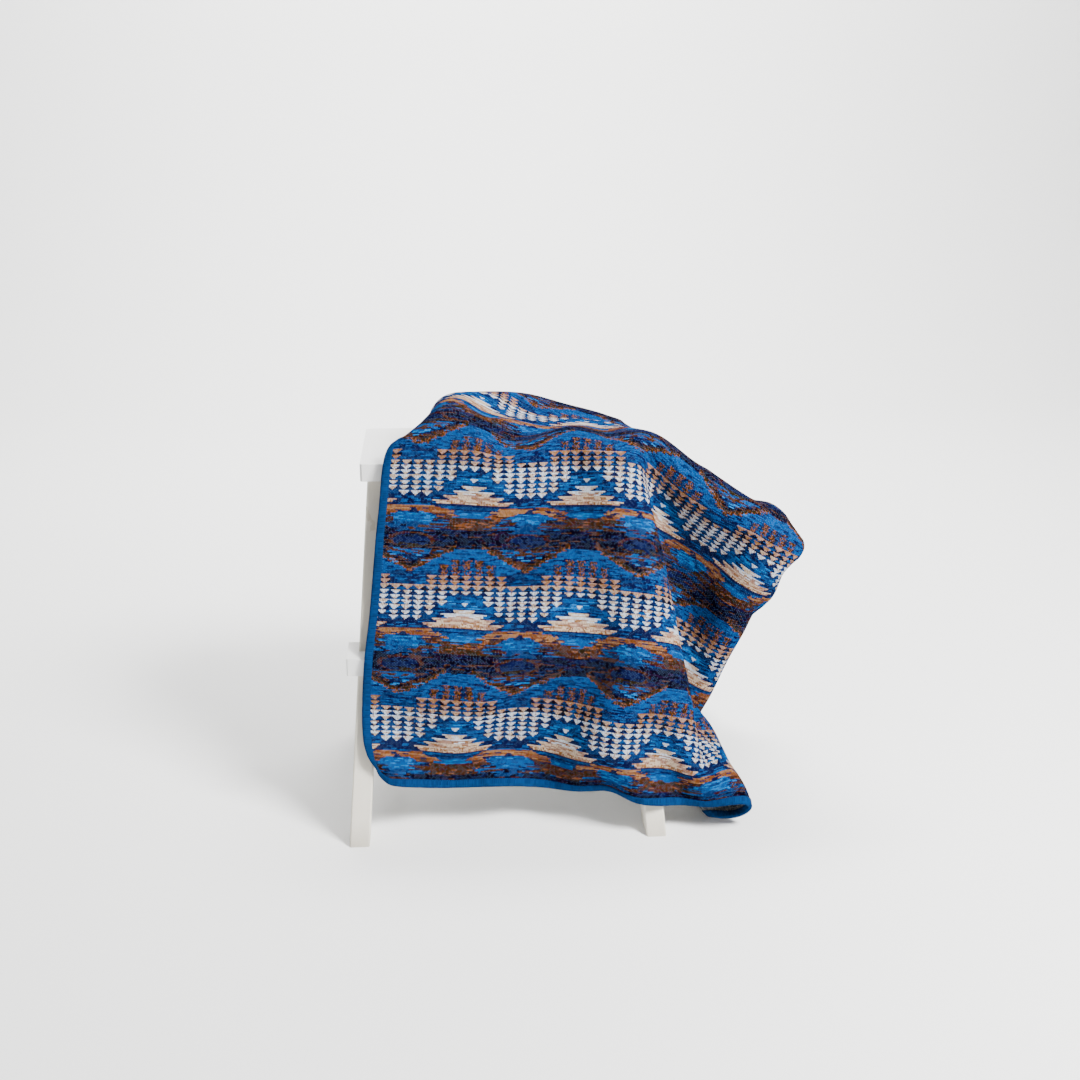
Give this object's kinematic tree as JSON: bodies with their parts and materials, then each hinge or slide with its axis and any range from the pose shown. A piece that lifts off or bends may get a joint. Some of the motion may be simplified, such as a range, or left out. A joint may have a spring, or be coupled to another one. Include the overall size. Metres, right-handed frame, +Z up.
{
  "type": "jacquard blanket draped over step stool",
  "caption": "Woven throw with a geometric pattern and a bright blue edge binding, draped over a plain wooden step stool so that its right side hangs in a free wing.",
  "frame": {"origin": "on the floor, under the middle of the whole object's plan", "axes": "+Z up, +X to the right as seen from the stool's front, +Y from the front to the rear"},
  "size_m": [0.6666, 0.5642, 0.5811],
  "materials": {
    "woven_cloth": "ribbed jacquard weave, matt",
    "edge_binding": "corded edge binding, matt",
    "white_board": "white paint, satin",
    "painted_leg": "warm off-white paint, satin"
  },
  "bodies": {
    "root": {"blanket_cloth": "woven_cloth", "blanket_binding": "edge_binding", "top_slab": "white_board", "step_board": "white_board", "front_leg_right": "painted_leg", "front_leg_left": "painted_leg", "rear_leg_right": "painted_leg", "rear_leg_left": "painted_leg", "side_rail_right": "painted_leg", "side_rail_left": "painted_leg", "rear_rail": "painted_leg"}
  },
  "joints": []
}
